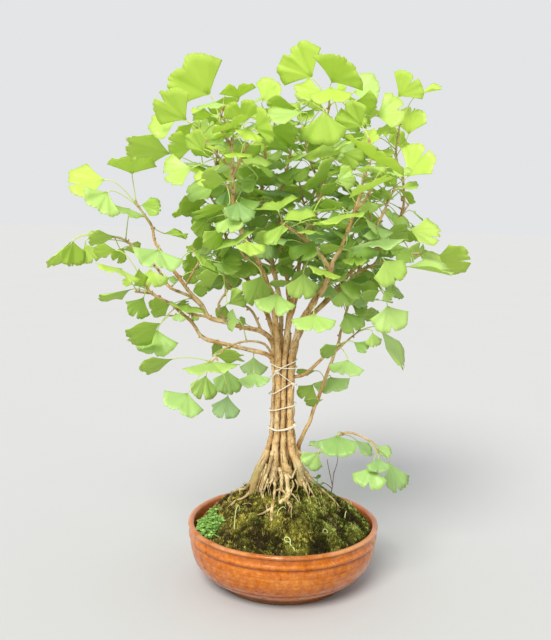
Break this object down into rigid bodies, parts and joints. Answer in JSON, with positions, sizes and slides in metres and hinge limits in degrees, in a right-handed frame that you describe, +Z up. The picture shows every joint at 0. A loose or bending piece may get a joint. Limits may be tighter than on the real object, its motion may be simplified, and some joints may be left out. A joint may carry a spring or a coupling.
{
  "type": "ginkgo bonsai in a round pot",
  "caption": "Ginkgo bonsai: a clump of young stems tied with twine, fan leaves, exposed roots and a moss mound in a round glazed pot.",
  "frame": {"origin": "centre of the flat underside of the pot", "axes": "+Z up along the pot's axis, -Y towards the viewer, +X to the viewer's right"},
  "size_m": [0.5867, 0.383, 0.7452],
  "materials": {
    "glaze": "glossy orange-brown glaze, darker in the grooves, dirt at the foot",
    "screen": "black plastic mesh",
    "earth": "dark potting soil, matt",
    "moss": "living moss, olive to yellow-green with brown patches, matt",
    "tree": "tan bark, fissured on the thick stems and roots, with fresh green leaves",
    "twine": "off-white cotton twine",
    "dead_twig": "dry grey-brown twig",
    "seedling": "small bright green leaves"
  },
  "bodies": {
    "root": {"pot": "glaze", "drain_screen_1": "screen", "drain_screen_2": "screen", "drain_screen_3": "screen", "soil": "earth", "moss": "moss", "sapling_01": "tree", "sapling_02": "tree", "sapling_03": "tree", "sapling_04": "tree", "sapling_05": "tree", "sapling_06": "tree", "sapling_07": "tree", "sapling_08": "tree", "sapling_09": "tree", "sapling_10": "tree", "sapling_11": "tree", "sapling_12": "tree", "tie_low": "twine", "tie_middle": "twine", "tie_upper": "twine", "tie_top": "twine", "dry_sprig": "dead_twig", "seedlings": "seedling"}
  },
  "joints": []
}
